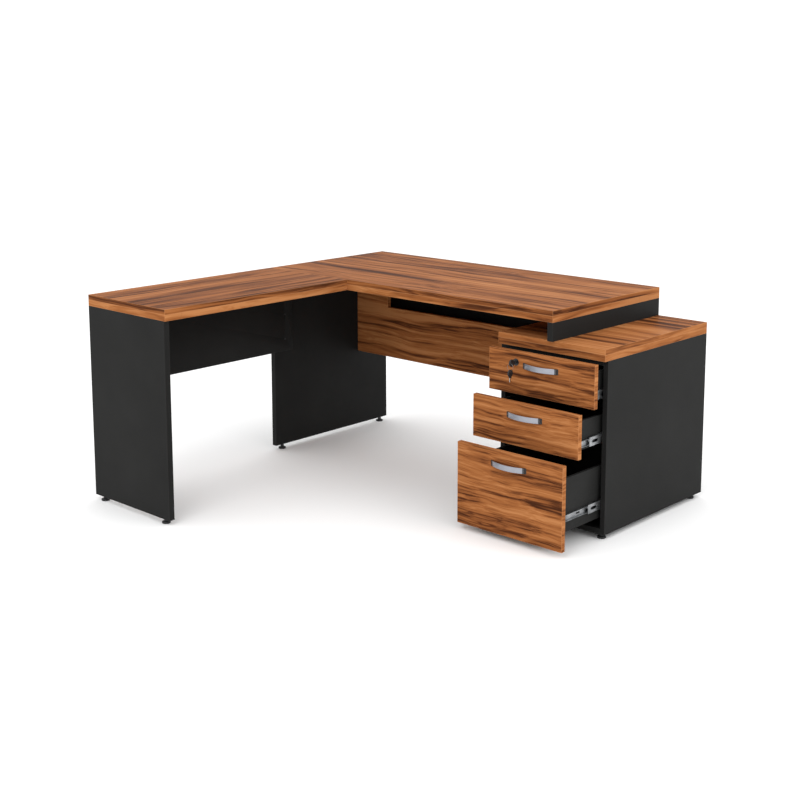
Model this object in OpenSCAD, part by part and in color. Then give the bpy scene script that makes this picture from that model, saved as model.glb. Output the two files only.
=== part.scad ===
// Corner desk: a main top and a return top in an L, on two panel legs and a three-drawer pedestal.
// The origin is on the floor, under the middle of the desk's outline.
// +X runs along the main top to the pedestal, +Y to the desk's back edge, +Z up.

/* [Tops] */
// Length of the main top
main_len = 1400; // [1200:10:1700]
// Depth of the main top, front to back
main_depth = 650; // [560:10:800]
// Length of the return, out from the main top's front edge
return_len = 850; // [650:10:1100]
// Width of the return top
return_w = 440; // [350:10:600]
// Height of the work surface
desk_h = 750; // [720:5:950]
// Thickness of the board that each top's surface is cut from
board_t = 18; // [15:1:25]
// Thickness of the strips glued under the board to thicken its edges
strip_t = 22; // [18:1:30]
// Width of those strips
strip_w = 70; // [50:5:90]

/* [Legs and screens] */
// Thickness of the two legs and the riser
leg_t = 22; // [18:1:30]
// Set-back of the end leg from the return's inner edge
leg_inset = 8; // [0:1:30]
// Thickness of the two modesty screens
screen_t = 18; // [15:1:25]
// Height of the main screen's lower edge
screen_low = 340; // [200:10:450]
// Height of the return screen's lower edge
return_screen_low = 410; // [250:10:520]
// Set-back of the main screen's face from the back edge
screen_back = 176; // [140:2:260]
// How far the return screen runs on along the corner leg
screen_lap = 80; // [60:5:160]
// Height of the lower edge of the cable notch
notch_low = 550; // [510:10:620]
// Width of the full-height ear left of the notch
notch_left = 178; // [100:2:260]
// Width of the full-height ear right of the notch
notch_right = 100; // [60:2:200]

/* [Cable tray] */
// Thickness of the tray's sheet
tray_t = 1.5; // [1:0.1:3]
// Distance of the tray's back wall from the back edge
tray_back = 60; // [40:2:66]
// Gap between the corner leg and the tray
tray_gap = 48; // [10:1:90]
// How far the tray reaches past the notch's right end
tray_past = 20; // [5:1:50]
// Depth of the tray's floor below the notch
tray_drop = 30; // [5:1:30]
// Width of the tray's screwed flanges
tray_flange = 28; // [20:1:36]

/* [Pedestal] */
// Width of the pedestal
ped_w = 440; // [340:10:560]
// How far the main top reaches over the pedestal
ped_overlap = 240; // [120:10:300]
// Depth of the pedestal's top
ped_depth = 635; // [520:5:780]
// Height of the pedestal's top surface
ped_h = 646; // [530:2:680]
// Thickness of the pedestal's panels
panel_t = 18; // [15:1:25]
// Thickness of the pedestal's back
ped_back_t = 15; // [12:1:18]
// Depth of the rail across the pedestal's front
front_rail_d = 60; // [40:5:100]

/* [Drawers] */
// Thickness of the drawer fronts
front_t = 18; // [15:1:25]
// Height of the two upper fronts
small_front_h = 146; // [120:1:160]
// Gap round each front
front_gap = 3; // [2:0.5:5]
// Height of the lowest front's edge above the pedestal's underside
front_lift = 4; // [0:1:20]
// Thickness of the drawer boxes' sides and backs
box_t = 12; // [10:1:16]
// Room behind the closed drawer boxes
box_room = 82; // [40:2:200]
// Height of the two upper boxes
small_box_h = 96; // [80:1:110]
// Height of an upper box's edge above its front's lower edge
small_box_lift = 17; // [10:1:30]
// Height of the deep box's edge above its front's lower edge
deep_box_lift = 48; // [20:1:80]
// Drop of the deep box's rim below its front's upper edge
deep_box_drop = 57; // [20:1:100]
// Thickness of the drawer bottoms
base_t = 4; // [3:0.5:6]
// Height of a drawer bottom above its box's lower edge
base_lift = 8; // [6:1:15]
// Depth of the grooves that hold the drawer bottoms
groove = 5; // [3:0.5:7]
// How far each drawer stands open
drawer_open = [52, 136, 216]; // [0:4:240]

/* [Slides] */
// Room for a slide between a box and the pedestal's side
slide_room = 12.7; // [12.5:0.1:14]
// How much shorter the slides are than the boxes
slide_short = 20; // [10:5:60]
// Set-back of the slides from the pedestal's front
slide_setback = 2; // [1:1:10]
// How much shorter the middle member is
mid_short = 40; // [20:5:80]
// How far a middle member stands out of the pedestal at most
mid_out = 66; // [40:2:80]
// Thickness of the slides' sheet
slide_t = 1.2; // [1:0.1:1.6]
// Height of the outer members
slide_h = 36; // [32:1:40]
// Height of an upper box's slides above its lower edge
small_slide_lift = 21; // [18:1:40]
// Height of the deep box's slides above its lower edge
deep_slide_lift = 49; // [20:1:90]

/* [Handles] */
// Overall length of a handle
handle_len = 146; // [140:2:180]
// Spacing of a handle's two screws
handle_pitch = 128; // [96:32:128]
// Height of a handle's strip
handle_h = 19; // [14:1:26]
// Thickness of the strip
handle_t = 3; // [2:0.5:5]
// How far the strip bows out from the front
handle_reach = 20; // [16:1:34]
// Drop of a handle below its front's upper edge
handle_drop = 45; // [30:1:60]

/* [Lock] */
// Distance of the lock from the top front's left edge
lock_in = 115; // [60:1:130]
// Drop of the lock below the front's upper edge
lock_drop = 37; // [30:1:45]
// Radius of the lock's body
lock_r = 9.5; // [8:0.5:12]
// Radius of the turning core
core_r = 6; // [5:0.5:7]
// Length of the cam from the core's axis to its tip
cam_len = 29; // [26:1:32]
// Radius of a key's bow
bow_r = 12.5; // [10:0.5:15]
// Thickness of a key's bow
bow_t = 6; // [3:0.5:7]
// Length of a key's blade
blade_len = 21; // [16:1:26]
// Radius of the key ring
ring_r = 12; // [10:0.5:16]
// Radius of the ring's wire
wire_r = 0.9; // [0.6:0.1:1.2]

/* [Feet] */
// Height of the panels above the floor
foot_h = 18; // [14:1:30]
// Radius of a foot's pad
pad_r = 15; // [11:0.5:18]
// Height of a foot's pad
pad_h = 7; // [5:0.5:10]
// Distance of a leg's feet from the leg's ends
foot_in = 38; // [30:1:80]
// Radius of a foot's stud
stud_r = 4; // [3:0.5:5]
// Length of the sockets that take the studs
socket_len = 14; // [10:1:14]

/* [Fits] */
// Clearance round a shaft that turns
running = 0.05; // [0.02:0.01:0.1]
// Least gap between pieces that move past each other
gap = 0.4; // [0.3:0.1:1]

/* [Hidden] */
$fn = 48;
e = 0.01;                              // overrun of a cut past a face
glue = 0.1;                            // glue line at a strip's end
top_t = board_t + strip_t;
desk_w = main_len + ped_w - ped_overlap;
desk_d = main_depth + return_len;

// Planes of the outline
left_x = -desk_w / 2;
right_x = desk_w / 2;
back_y = desk_d / 2;
end_y = -desk_d / 2;
main_right = left_x + main_len;
main_front = back_y - main_depth;
return_right = left_x + return_w;
under_z = desk_h - top_t;              // underside of the two work tops

// Pedestal
ped_left = right_x - ped_w;
ped_front = back_y - ped_depth;
case_front = ped_front + front_t;      // front edges of the pedestal's panels
ped_under = ped_h - top_t;
in_left = ped_left + panel_t;
in_right = right_x - panel_t;
riser_x = main_right - leg_t;

// Screens
screen_y = back_y - screen_back;
screen_x = left_x + leg_t;
screen_len = ped_left - screen_x;
return_screen_y = end_y + leg_t;
return_screen_len = main_front + screen_lap - return_screen_y;
notch_x = screen_x + notch_left;
notch_len = screen_len - notch_left - notch_right;

// Drawers, counted from the top
front_x = ped_left + front_gap;
front_w = ped_w - 2 * front_gap;
fronts_top = ped_under - front_gap;
deep_front_h = fronts_top - 2 * (small_front_h + front_gap) - foot_h - front_lift;
front_h = [small_front_h, small_front_h, deep_front_h];
front_z = [
    fronts_top - small_front_h,
    fronts_top - 2 * small_front_h - front_gap,
    foot_h + front_lift
];
box_lift = [small_box_lift, small_box_lift, deep_box_lift];
box_h = [small_box_h, small_box_h, deep_front_h - deep_box_lift - deep_box_drop];
slide_lift = [small_slide_lift, small_slide_lift, deep_slide_lift];
box_x = in_left + slide_room;
box_w = in_right - in_left - 2 * slide_room;
box_len = back_y - ped_back_t - box_room - case_front;
slide_len = box_len - slide_short;
mid_h = slide_h - 6;                   // heights of the middle and the drawer members
inner_h = slide_h - 14;
mid_x = right_x - ped_w / 2;
function box_z(i) = front_z[i] + box_lift[i];
function slide_z(i) = box_z(i) + slide_lift[i];
function handle_z(i) = front_z[i] + front_h[i] - handle_drop;

// Lock
lock_x = front_x + lock_in;
lock_z = front_z[0] + front_h[0] - lock_drop;
lock_back = front_t + 4;               // length of the lock's body behind the front's face
bow_y = -bow_r - 11;                   // middle of the bow, out from the front's face
hole_y = bow_y - bow_r / 2 - 1;        // ring hole in the bow
hole_r = 3;
ring_drop = 1;                         // the ring's wire hangs this far below the hole's axis
blade_h = 8;
blade_t = 2.2;
rose_w = 2.5;                          // the lock's rim round its body, and how far it stands out
rose_t = 1.5;
plate = 32;                            // width of the lock's square plate behind the front
plate_t = 1.5;
mortise_w = 20;                        // the rail's mortise for the cam
mortise_d = 8;

// Fittings: a cam housing in one panel's face and a bolt into the panel that it pulls up
cam_reach = 34;                        // joint face to the housing's axis
bolt_r = 3.5;
thread_r = 2.5;
thread_len = 11;
thin_panel = 15;                       // panels thinner than this take the small housing
function cam_r(t) = t < thin_panel ? 6 : 7.5;
function cam_deep(t) = t < thin_panel ? 9.5 : 12.5;
dowel_r = 4;
dowel_in = 18;
dowel_out = 12;
screw_r = 1.75;
screw_head_r = 3.5;
flat_head = 1.2;
sunk_head = 2;
screw_len = 16;
screw_in = 14;                         // how far a long screw enters the second panel
pad_lip = 8;                           // how far a foot's pad stands out round its neck
socket_wall = 1.5;
bolt_head = 3;                         // height of a bolt's round head
bolt_collar = 2;                       // height of its collar at the joint
bolt_neck = 0.7;                       // the bolt's shank is this much thinner than its thread
turn_slot = [3, 8, 1.6];               // screwdriver slot in a housing: depth, length, width
socket_cover = 1;                      // least board between a socket and its leg's inner face
foot_off = min(pad_r, leg_t - stud_r - socket_wall - socket_cover);    // a foot's axis from its leg's outer face
ped_foot_in = panel_t + stud_r + 2;    // a pedestal foot's axis from the pedestal's side
ped_foot_back = 20;                    // and from its front

// Directions that a fitting's bolt or a screw can point
UP = [0, 0, 0];
DOWN = [180, 0, 0];
RIGHT = [0, 90, 0];
LEFT = [0, -90, 0];
FRONT = [90, 0, 0];
BACK = [-90, 0, 0];

// Cam fittings: [point on the joint face, way of the bolt, turn of the housing about it, panel thickness]
leg_mid = leg_t / 2;
corner_leg_cams = [for (y = [main_front + 120, back_y - 100]) [[left_x + leg_mid, y, under_z], UP, 0, leg_t]];
end_leg_cams = [
    for (x = [left_x + 90, return_right - leg_inset - 90]) [[x, end_y + leg_mid, under_z], UP, 90, leg_t]
];
riser_up_cams = [for (y = [main_front + 90, back_y - 60]) [[riser_x + leg_mid, y, under_z], UP, 180, leg_t]];
riser_down_cams = [for (y = [main_front + 190, back_y - 160]) [[riser_x + leg_mid, y, ped_h], DOWN, 180, leg_t]];
return_screen_cams = [
    for (z = [return_screen_low + 60, under_z - 60])
        [[left_x + leg_t + screen_t / 2, return_screen_y, z], FRONT, 180, screen_t]
];
screen_left_cams = [
    for (z = [screen_low + 60, under_z - 60]) [[screen_x, screen_y + screen_t / 2, z], LEFT, 90, screen_t]
];
screen_right_cams = [
    for (z = [screen_low + 60, ped_under - 60]) [[ped_left, screen_y + screen_t / 2, z], RIGHT, 90, screen_t]
];
ped_top_cams_left = [
    for (y = [case_front + front_rail_d + 60, back_y - 80]) [[ped_left + panel_t / 2, y, ped_under], UP, 0, panel_t]
];
ped_top_cams_right = [
    for (y = [case_front + front_rail_d + 60, back_y - 80]) [[right_x - panel_t / 2, y, ped_under], UP, 180, panel_t]
];
ped_base_cams_left = [
    for (y = [case_front + 90, back_y - 110]) [[in_left, y, foot_h + panel_t / 2], LEFT, 180, panel_t]
];
ped_base_cams_right = [
    for (y = [case_front + 90, back_y - 110]) [[in_right, y, foot_h + panel_t / 2], RIGHT, 0, panel_t]
];
all_cams = concat(
    corner_leg_cams, end_leg_cams, riser_up_cams, riser_down_cams, return_screen_cams, screen_left_cams,
    screen_right_cams, ped_top_cams_left, ped_top_cams_right, ped_base_cams_left, ped_base_cams_right
);

// Dowels: [point on the joint face, way of the end that enters the second panel]
corner_leg_dowels = [for (y = [main_front + 60, back_y - 40]) [[left_x + leg_mid, y, under_z], UP]];
end_leg_dowels = [
    for (x = [left_x + 50, return_right - leg_inset - 50]) [[x, end_y + leg_mid, under_z], UP]
];
riser_dowels = [for (y = [main_front + 140, back_y - 110]) [[riser_x + leg_mid, y, ped_h], DOWN]];
rail_dowels_left = [for (y = [case_front + 20, case_front + 40]) [[in_left, y, ped_under - panel_t / 2], LEFT]];
rail_dowels_right = [for (y = [case_front + 20, case_front + 40]) [[in_right, y, ped_under - panel_t / 2], RIGHT]];
base_dowels_left = [for (y = [case_front + 130, back_y - 150]) [[in_left, y, foot_h + panel_t / 2], LEFT]];
base_dowels_right = [for (y = [case_front + 130, back_y - 150]) [[in_right, y, foot_h + panel_t / 2], RIGHT]];
all_dowels = concat(
    corner_leg_dowels, end_leg_dowels, riser_dowels, rail_dowels_left, rail_dowels_right, base_dowels_left,
    base_dowels_right
);

// Screws: [point under the head, way of the tip, length]
lap_screws = [
    for (z = [return_screen_low + 50, (return_screen_low + under_z) / 2, under_z - 50])
        [[left_x + leg_t + screen_t, main_front + screen_lap / 2, z], LEFT, screen_t + screw_in]
];
tray_x = screen_x + tray_gap;
tray_len = notch_x + notch_len + tray_past - tray_x;
tray_low = notch_low - tray_drop;      // underside of the tray's floor
tray_screw_x = [for (k = [0:3]) tray_x + 30 + k * (tray_len - 60) / 3];
tray_top_screws = [
    for (x = tray_screw_x) [[x, back_y - tray_back + tray_flange / 2, under_z - tray_t], UP, screw_len]
];
tray_screen_screws = [
    for (x = tray_screw_x) [[x, screen_y + screen_t + tray_t, tray_low - tray_flange / 2], FRONT, screw_len]
];
back_screws_left = [
    for (z = [foot_h + 120, ped_under - 120]) [[ped_left, back_y - ped_back_t / 2, z], RIGHT, panel_t + screw_in]
];
back_screws_right = [
    for (z = [foot_h + 120, ped_under - 120]) [[right_x, back_y - ped_back_t / 2, z], LEFT, panel_t + screw_in]
];
outer_hole = [60, slide_len - 60];     // the outer members' screw holes, from their front ends
function outer_screws(side) = [
    for (i = [0:2]) for (d = outer_hole)
        [[
            side < 0 ? in_left + slide_t : in_right - slide_t,
            case_front + slide_setback + d,
            slide_z(i)
        ], side < 0 ? LEFT : RIGHT, panel_t - 4]
];

// Feet: [x, y] of each axis
feet = [
    [left_x + foot_in, end_y + foot_off],
    [return_right - leg_inset - foot_in, end_y + foot_off],
    [left_x + foot_off, main_front + foot_in],
    [left_x + foot_off, back_y - foot_in],
    [ped_left + ped_foot_in, case_front + ped_foot_back],
    [right_x - ped_foot_in, case_front + ped_foot_back],
    [ped_left + ped_foot_in, back_y - foot_in],
    [right_x - ped_foot_in, back_y - foot_in]
];

// ---- Shared shapes ----

// A board from one corner to another
module board(from, to) {
    translate(from) cube(to - from);
}

// The hollow that a cam fitting needs in both panels
module cam_holes(list) {
    for (c = list) translate(c[0]) rotate(c[1]) rotate([0, 0, c[2]]) {
        translate([c[3] / 2 - cam_deep(c[3]), 0, -cam_reach]) rotate([0, 90, 0])
            cylinder(r = cam_r(c[3]), h = cam_deep(c[3]) + e);
        translate([0, 0, -cam_reach]) cylinder(r = bolt_r + 0.5, h = cam_reach + e);
        cylinder(r = thread_r, h = thread_len);
    }
}

// The housings and bolts themselves
module cam_sets(list) {
    for (c = list) translate(c[0]) rotate(c[1]) rotate([0, 0, c[2]]) {
        difference() {
            translate([c[3] / 2 - cam_deep(c[3]), 0, -cam_reach]) rotate([0, 90, 0])
                cylinder(r = cam_r(c[3]), h = cam_deep(c[3]));
            translate([0, 0, -cam_reach - 1]) cylinder(r = bolt_r + 0.5, h = cam_reach);
            translate([c[3] / 2 - turn_slot.x + 0.5, -turn_slot.y / 2, -cam_reach - turn_slot.z / 2])
                cube(turn_slot);
        }
        translate([0, 0, -cam_reach]) cylinder(r = bolt_r, h = bolt_head);
        translate([0, 0, -cam_reach + bolt_head])
            cylinder(r = thread_r - bolt_neck, h = cam_reach - bolt_head - bolt_collar);
        translate([0, 0, -bolt_collar]) cylinder(r = bolt_r, h = bolt_collar);
        cylinder(r = thread_r, h = thread_len);
    }
}

module dowel_holes(list) {
    for (d = list) translate(d[0]) rotate(d[1]) translate([0, 0, -dowel_in])
        cylinder(r = dowel_r, h = dowel_in + dowel_out);
}

// A screw whose thin head stands on the face that it holds down
module flat_screw(s) {
    translate(s[0]) rotate(s[1]) {
        cylinder(r = screw_r, h = s[2]);
        translate([0, 0, -flat_head]) cylinder(r = screw_head_r, h = flat_head);
    }
}

// A screw whose head is let into the face
module sunk_screw(s) {
    translate(s[0]) rotate(s[1]) {
        cylinder(r = screw_r, h = s[2]);
        cylinder(r = screw_head_r, h = sunk_head);
    }
}

module screw_holes(list) {
    for (s = list) translate(s[0]) rotate(s[1]) translate([0, 0, -e]) cylinder(r = screw_r, h = s[2] + e);
}

module sunk_holes(list) {
    screw_holes(list);
    for (s = list) translate(s[0]) rotate(s[1]) translate([0, 0, -1]) cylinder(r = screw_head_r, h = 1 + sunk_head);
}

// Strips under a top: one along X at each y of rows, and one at each x of columns between each two rows
module strips(low, high, rows, columns) {
    for (y = rows) board([low.x, y, low.z], [high.x, y + strip_w, high.z]);
    for (x = columns) for (k = [0:len(rows) - 2])
        board([x, rows[k] + strip_w + glue, low.z], [x + strip_w, rows[k + 1] - glue, high.z]);
}

// ---- Tops ----

module main_top_board() {
    color("#a86a3c") board([left_x, main_front, desk_h - board_t], [main_right, back_y, desk_h]);
}

module main_top_strips() {
    color("#b07242") difference() {
        strips(
            [left_x, 0, under_z], [main_right, 0, desk_h - board_t],
            [main_front, screen_y + (screen_t - strip_w) / 2, back_y - strip_w],
            [left_x, left_x + (main_len - strip_w) / 2, main_right - strip_w]
        );
        cam_holes(concat(corner_leg_cams, riser_up_cams));
        dowel_holes(corner_leg_dowels);
        screw_holes(tray_top_screws);
    }
}

module return_top_board() {
    color("#a86a3c") board([left_x, end_y, desk_h - board_t], [return_right, main_front, desk_h]);
}

module return_top_strips() {
    color("#b07242") difference() {
        strips(
            [left_x, 0, under_z], [return_right, 0, desk_h - board_t],
            [end_y, main_front - strip_w], [left_x, return_right - strip_w]
        );
        cam_holes(end_leg_cams);
        dowel_holes(end_leg_dowels);
    }
}

module pedestal_top_board() {
    color("#a86a3c") difference() {
        board([ped_left, ped_front, ped_h - board_t], [right_x, back_y, ped_h]);
        cam_holes(riser_down_cams);
        dowel_holes(riser_dowels);
    }
}

module pedestal_top_strips() {
    color("#b07242") difference() {
        strips(
            [ped_left, 0, ped_under], [right_x, 0, ped_h - board_t],
            [ped_front, back_y - strip_w],
            [ped_left, riser_x + (leg_t - strip_w) / 2, right_x - strip_w]
        );
        cam_holes(concat(ped_top_cams_left, ped_top_cams_right));
    }
}

// ---- Legs and screens ----

module foot_bores() {
    for (f = feet) translate([f.x, f.y, foot_h - e]) cylinder(r = stud_r + socket_wall, h = socket_len + e);
}

module return_end_leg() {
    color("#303134") difference() {
        board([left_x, end_y, foot_h], [return_right - leg_inset, end_y + leg_t, under_z]);
        cam_holes(concat(end_leg_cams, return_screen_cams));
        dowel_holes(end_leg_dowels);
        foot_bores();
    }
}

module corner_leg() {
    color("#303134") difference() {
        board([left_x, main_front, foot_h], [left_x + leg_t, back_y, under_z]);
        cam_holes(concat(corner_leg_cams, screen_left_cams));
        dowel_holes(corner_leg_dowels);
        screw_holes(lap_screws);
        foot_bores();
    }
}

// Stands on the pedestal's top and carries the main top's right end
module riser_panel() {
    color("#303134") difference() {
        board([riser_x, main_front, ped_h], [main_right, back_y, under_z]);
        cam_holes(concat(riser_up_cams, riser_down_cams));
        dowel_holes(riser_dowels);
    }
}

module return_screen() {
    color("#303134") difference() {
        translate([left_x + leg_t, return_screen_y, return_screen_low])
            cube([screen_t, return_screen_len, under_z - return_screen_low]);
        cam_holes(return_screen_cams);
        screw_holes(lap_screws);
    }
}

// The notch in its upper edge lets cables through to the tray
module main_screen() {
    color("#9a6036") difference() {
        translate([screen_x, screen_y, screen_low]) cube([screen_len, screen_t, under_z - screen_low]);
        translate([notch_x, screen_y - 1, notch_low]) cube([notch_len, screen_t + 2, under_z]);
        cam_holes(concat(screen_left_cams, screen_right_cams));
        screw_holes(tray_screen_screws);
    }
}

// Folded sheet: a flange on the screen, a floor, a back wall and a flange under the top
module cable_tray() {
    wall_y = back_y - tray_back - tray_t;
    front_y = screen_y + screen_t;
    color("#26272a") difference() {
        union() {
            translate([tray_x, front_y, tray_low - tray_flange]) cube([tray_len, tray_t, tray_flange + tray_t]);
            translate([tray_x, front_y, tray_low]) cube([tray_len, wall_y + tray_t - front_y, tray_t]);
            translate([tray_x, wall_y, tray_low]) cube([tray_len, tray_t, under_z - tray_low]);
            translate([tray_x, wall_y, under_z - tray_t]) cube([tray_len, tray_flange + tray_t, tray_t]);
        }
        for (s = concat(tray_top_screws, tray_screen_screws)) translate(s[0]) rotate(s[1])
            translate([0, 0, -5]) cylinder(r = screw_r, h = 10);
    }
}

// ---- Pedestal case ----

module pedestal_side(outer, cams, dowels, slide_screws, case_screws) {
    color("#303134") difference() {
        board([outer, case_front, foot_h], [outer + panel_t, back_y, ped_under]);
        cam_holes(cams);
        dowel_holes(dowels);
        screw_holes(slide_screws);
        sunk_holes(case_screws);
    }
}

module pedestal_side_left() {
    pedestal_side(
        ped_left, concat(ped_top_cams_left, ped_base_cams_left, screen_right_cams),
        concat(rail_dowels_left, base_dowels_left), outer_screws(-1), back_screws_left
    );
}

module pedestal_side_right() {
    pedestal_side(
        right_x - panel_t, concat(ped_top_cams_right, ped_base_cams_right),
        concat(rail_dowels_right, base_dowels_right), outer_screws(1), back_screws_right
    );
}

module pedestal_back() {
    color("#2c2d30") difference() {
        board([in_left, back_y - ped_back_t, foot_h], [in_right, back_y, ped_under]);
        screw_holes(concat(back_screws_left, back_screws_right));
    }
}

module pedestal_base() {
    color("#2c2d30") difference() {
        board([in_left, case_front, foot_h], [in_right, back_y - ped_back_t, foot_h + panel_t]);
        cam_holes(concat(ped_base_cams_left, ped_base_cams_right));
        dowel_holes(concat(base_dowels_left, base_dowels_right));
        foot_bores();
    }
}

// Lies under the top, with a mortise that takes the lock's cam
module pedestal_front_rail() {
    color("#2c2d30") difference() {
        board([in_left, case_front, ped_under - panel_t], [in_right, case_front + front_rail_d, ped_under]);
        dowel_holes(concat(rail_dowels_left, rail_dowels_right));
        translate([lock_x - mortise_w / 2, case_front + lock_back - front_t + gap, ped_under - panel_t - 1])
            cube([mortise_w, mortise_d, lock_z + cam_len + 2 - ped_under + panel_t + 1]);
    }
}

// ---- Slides ----

// One C-shaped member with its open side to +X: web thickness, depth and height, and slots along the web
module channel(len, depth, height, slots, slot_h) {
    difference() {
        translate([0, 0, -height / 2]) cube([depth, len, height]);
        translate([slide_t, -1, slide_t - height / 2]) cube([depth, len + 2, height - 2 * slide_t]);
        for (s = slots) translate([-1, s[0], 0]) {
            rotate([0, 90, 0]) cylinder(d = slot_h, h = slide_t + 2);
            translate([0, s[1], 0]) rotate([0, 90, 0]) cylinder(d = slot_h, h = slide_t + 2);
            translate([0, 0, -slot_h / 2]) cube([slide_t + 2, s[1], slot_h]);
        }
    }
}

outer_depth = 9.6;
mid_web = 2.8;                         // the middle member's web, out from the side panel
mid_depth = 8.4;
inner_depth = slide_room - mid_web - slide_t - 1;
inner_hole = [30, slide_len - 60];     // the drawer members' screw holes, from their front ends

// Places its children on both sides of a drawer, mirrored on the right
module both_sides(y, z) {
    translate([in_left, y, z]) children();
    translate([in_right, y, z]) mirror([1, 0, 0]) children();
}

module slide_outer_members() {
    color("#c4c8cc") for (i = [0:2]) both_sides(case_front + slide_setback, slide_z(i)) difference() {
        channel(slide_len, outer_depth, slide_h, [for (k = [1, 2]) [k * slide_len / 3 - 12, 24]], 8);
        for (d = outer_hole) translate([-1, d, 0]) rotate([0, 90, 0]) cylinder(r = screw_r, h = slide_t + 2);
    }
}

module middle_members(i) {
    y = case_front - min(mid_out, drawer_open[i] / 2 - 1);
    mid_len = slide_len - mid_short;
    color("#c4c8cc") both_sides(y, slide_z(i)) translate([mid_web, 0, 0])
        channel(mid_len, mid_depth, mid_h, [for (k = [0:5]) [20 + k * (mid_len - 62) / 5, 22]], 10);
}

module drawer_members(i) {
    y = case_front + gap - drawer_open[i];
    inner_len = slide_len - 20;
    color("#c4c8cc") both_sides(y, slide_z(i)) translate([slide_room, 0, 0]) mirror([1, 0, 0]) difference() {
        channel(inner_len, inner_depth, inner_h, [for (k = [1:4]) [k * inner_len / 5, 16]], 6);
        for (d = inner_hole) translate([-1, d, 0]) rotate([0, 90, 0]) cylinder(r = screw_r, h = slide_t + 2);
    }
}

// ---- Drawers ----

// Everything in a drawer is placed from its front's inner face
function drawer_y(i) = case_front - drawer_open[i];
box_in = box_t / 2;
function box_cams(i) = [
    for (side = [0, 1])
        [[box_x + (side ? box_w - box_in : box_in), drawer_y(i), box_z(i) + box_h[i] / 2 + 12],
         FRONT, side ? 180 : 0, box_t]
];
function back_screws(i) = [
    for (side = [0, 1]) for (dz = [20, box_h[i] - 20])
        [[box_x + (side ? box_w : 0), drawer_y(i) + box_len - box_t / 2, box_z(i) + dz],
         side ? LEFT : RIGHT, 34]
];
function member_screws(i) = [
    for (side = [0, 1]) for (d = inner_hole)
        [[side ? in_right - slide_room + slide_t : in_left + slide_room - slide_t,
          case_front + gap - drawer_open[i] + d, slide_z(i)],
         side ? LEFT : RIGHT, box_t - 2]
];
handle_screw_r = 2;
handle_screw_in = 2.5;

module drawer_front(i) {
    color("#b47645") difference() {
        board(
            [front_x, drawer_y(i) - front_t, front_z[i]],
            [front_x + front_w, drawer_y(i), front_z[i] + front_h[i]]
        );
        cam_holes(box_cams(i));
        translate([box_x + box_t - groove, drawer_y(i) - groove, box_z(i) + base_lift])
            cube([box_w - 2 * (box_t - groove), groove + e, base_t]);
        for (s = [-1, 1]) translate([mid_x + s * handle_pitch / 2, drawer_y(i) + e, handle_z(i)])
            rotate(FRONT) cylinder(r = handle_screw_r, h = front_t + 2 * e);
        if (i == 0) translate([lock_x, drawer_y(i) + e, lock_z])
            rotate(FRONT) cylinder(r = lock_r, h = front_t + 2 * e);
    }
}

module drawer_sides(i) {
    color("#3a3b3e") difference() {
        for (x = [box_x, box_x + box_w - box_t])
            board([x, drawer_y(i), box_z(i)], [x + box_t, drawer_y(i) + box_len, box_z(i) + box_h[i]]);
        translate([box_x + box_t - groove, drawer_y(i) - e, box_z(i) + base_lift])
            cube([box_w - 2 * (box_t - groove), box_len - box_t + groove + e, base_t]);
        cam_holes(box_cams(i));
        sunk_holes(back_screws(i));
        screw_holes(member_screws(i));
    }
}

module drawer_back(i) {
    color("#3a3b3e") difference() {
        board(
            [box_x + box_t, drawer_y(i) + box_len - box_t, box_z(i)],
            [box_x + box_w - box_t, drawer_y(i) + box_len, box_z(i) + box_h[i]]
        );
        translate([box_x, drawer_y(i) + box_len - box_t - e, box_z(i) + base_lift])
            cube([box_w, groove + e, base_t]);
        screw_holes(back_screws(i));
    }
}

module drawer_bottom(i) {
    color("#45464a") translate([box_x + box_t - groove, drawer_y(i) - groove, box_z(i) + base_lift])
        cube([box_w - 2 * (box_t - groove), box_len - box_t + 2 * groove, base_t]);
}

// A flat strip bowed into an arc, with a foot at each end that a screw pulls onto the front
module drawer_handle(i) {
    bow_radius = (pow(handle_len / 2, 2) + pow(handle_reach, 2)) / (2 * handle_reach);
    foot_w = handle_len - handle_pitch;
    foot_reach = handle_reach * 3 / 8;
    color("#a5a8b0") translate([mid_x, drawer_y(i) - front_t, handle_z(i)]) difference() {
        translate([0, 0, -handle_h / 2]) linear_extrude(handle_h) {
            intersection() {
                translate([0, bow_radius - handle_reach]) difference() {
                    circle(bow_radius, $fn = 180);
                    circle(bow_radius - handle_t, $fn = 180);
                }
                translate([-handle_len / 2, -handle_reach - 1]) square([handle_len, handle_reach + 1]);
            }
            intersection() {
                translate([0, bow_radius - handle_reach]) circle(bow_radius - handle_t / 2, $fn = 180);
                for (s = [-1, 1]) translate([s * handle_pitch / 2 - foot_w / 2, -foot_reach])
                    square([foot_w, foot_reach]);
            }
        }
        for (s = [-1, 1]) translate([s * handle_pitch / 2, e, 0])
            rotate(FRONT) cylinder(r = handle_screw_r, h = handle_screw_in + e);
    }
}

// Two cam fittings to the front, four screws into the back, four in the slides and two in the handle
module drawer_fixings(i) {
    color("#b9bcc0") {
        cam_sets(box_cams(i));
        for (s = back_screws(i)) sunk_screw(s);
        for (s = member_screws(i)) flat_screw(s);
        for (s = [-1, 1]) translate([mid_x + s * handle_pitch / 2, drawer_y(i), handle_z(i)]) {
            rotate(FRONT) cylinder(r = handle_screw_r, h = front_t + handle_screw_in);
            rotate(BACK) cylinder(r = 4, h = 2.4);
        }
    }
}

// ---- Lock and keys, placed from the point where the lock's axis meets the top front's face ----

module at_lock() {
    translate([lock_x, drawer_y(0) - front_t, lock_z]) children();
}

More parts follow.
